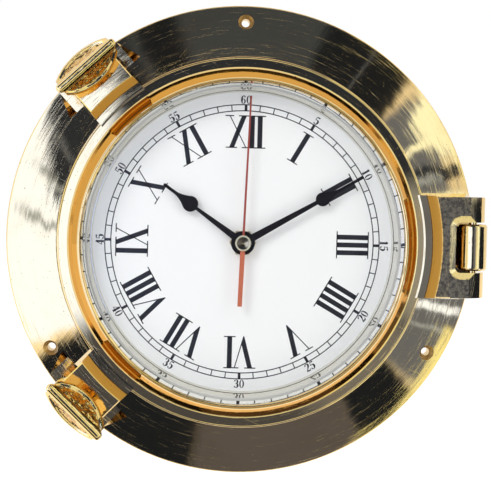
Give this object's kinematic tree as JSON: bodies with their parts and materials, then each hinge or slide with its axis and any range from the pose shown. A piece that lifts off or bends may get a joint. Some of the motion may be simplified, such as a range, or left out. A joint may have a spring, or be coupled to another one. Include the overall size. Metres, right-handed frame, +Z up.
{
  "type": "ship clock",
  "caption": "Round brass porthole clock with a hinged glazed door, thumb screws, a numbered dial, hands and a battery movement.",
  "frame": {"origin": "centre of the wall screw circle, on the wall plane behind the flange", "axes": "+Z is up, towards 12 o'clock; the dial looks along -Y; +Y points into the wall"},
  "size_m": [0.2322, 0.0565, 0.23],
  "materials": {
    "cast_brass": "polished",
    "turned_brass": "satin",
    "glass": "clear",
    "dial_white": "satin",
    "hand_black": "satin",
    "hand_red": "satin",
    "black_rubber": "matte",
    "spring_steel": "satin",
    "case_plastic": "matte",
    "gear_plastic": "matte",
    "board_green": "satin",
    "coil_copper": "satin",
    "battery_can": "satin"
  },
  "bodies": {
    "root": {"base_flange": "cast_brass", "hinge_pin": "turned_brass", "dial_plate": "dial_white", "dial_ring": "turned_brass", "dial_screws": "turned_brass", "door_gasket": "black_rubber", "movement_case": "case_plastic", "rear_cover": "case_plastic", "battery": "battery_can", "positive_contact": "spring_steel", "negative_contact": "spring_steel", "circuit_board": "board_green", "drive_coil": "coil_copper", "dial_washer": "black_rubber", "dial_nut": "turned_brass"},
    "door": {"bezel_ring": "cast_brass", "door_glass": "glass", "glass_gasket": "black_rubber", "glass_retainer": "turned_brass"},
    "upper_clip": {"upper_stem_clip": "spring_steel"},
    "upper_screw": {"upper_thumb_nut": "cast_brass", "upper_stem": "turned_brass"},
    "lower_clip": {"lower_stem_clip": "spring_steel"},
    "lower_screw": {"lower_thumb_nut": "cast_brass", "lower_stem": "turned_brass"},
    "minute": {"minute_arbor": "turned_brass", "minute_hand": "hand_black", "hand_nut": "turned_brass"},
    "hour": {"hour_wheel": "gear_plastic", "hour_hand": "hand_black"},
    "motion": {"motion_wheel": "gear_plastic"},
    "knob": {"setting_knob": "gear_plastic"},
    "seconds": {"second_arbor": "turned_brass", "second_hand": "hand_red", "second_cap": "turned_brass"}
  },
  "joints": [
    {"name": "door_hinge", "type": "hinge", "parent": "root", "child": "door", "pos_m": [0.1103, -0.026, 0], "axis": [0, 0, 1], "range_deg": [0, 110]},
    {"name": "upper_screw_lift", "type": "slide", "parent": "door", "child": "upper_clip", "axis": [0, -1, 0], "range_m": [0, 0.0068]},
    {"name": "upper_screw_turn", "type": "hinge", "parent": "upper_clip", "child": "upper_screw", "pos_m": [-0.0733, -0.0345, 0.07999], "axis": [0, -1, 0], "range_deg": [0, 1620]},
    {"name": "lower_screw_lift", "type": "slide", "parent": "door", "child": "lower_clip", "axis": [0, -1, 0], "range_m": [0, 0.0068]},
    {"name": "lower_screw_turn", "type": "hinge", "parent": "lower_clip", "child": "lower_screw", "pos_m": [-0.07672, -0.0345, -0.07672], "axis": [0, -1, 0], "range_deg": [0, 1620]},
    {"name": "minute_spin", "type": "hinge", "parent": "root", "child": "minute", "pos_m": [0, -0.02, 0], "axis": [0, 1, 0], "continuous": true},
    {"name": "hour_spin", "type": "hinge", "parent": "root", "child": "hour", "pos_m": [0, -0.02, 0], "axis": [0, 1, 0], "continuous": true},
    {"name": "motion_spin", "type": "hinge", "parent": "root", "child": "motion", "pos_m": [0, -0.01, 0.012], "axis": [0, 1, 0], "continuous": true},
    {"name": "knob_spin", "type": "hinge", "parent": "root", "child": "knob", "pos_m": [-0.012, -0.005, 0.012], "axis": [0, 1, 0], "continuous": true},
    {"name": "second_spin", "type": "hinge", "parent": "root", "child": "seconds", "pos_m": [0, -0.02, 0], "axis": [0, 1, 0], "continuous": true}
  ],
  "couplings": [
    {"joint": "upper_screw_lift", "follows": "upper_screw_turn", "m_per_rad": 0.00023873},
    {"joint": "lower_screw_lift", "follows": "lower_screw_turn", "m_per_rad": 0.00023873},
    {"joint": "hour_spin", "follows": "minute_spin", "ratio": 0.083333},
    {"joint": "motion_spin", "follows": "minute_spin", "ratio": -0.33333},
    {"joint": "knob_spin", "follows": "minute_spin", "ratio": 1}
  ]
}
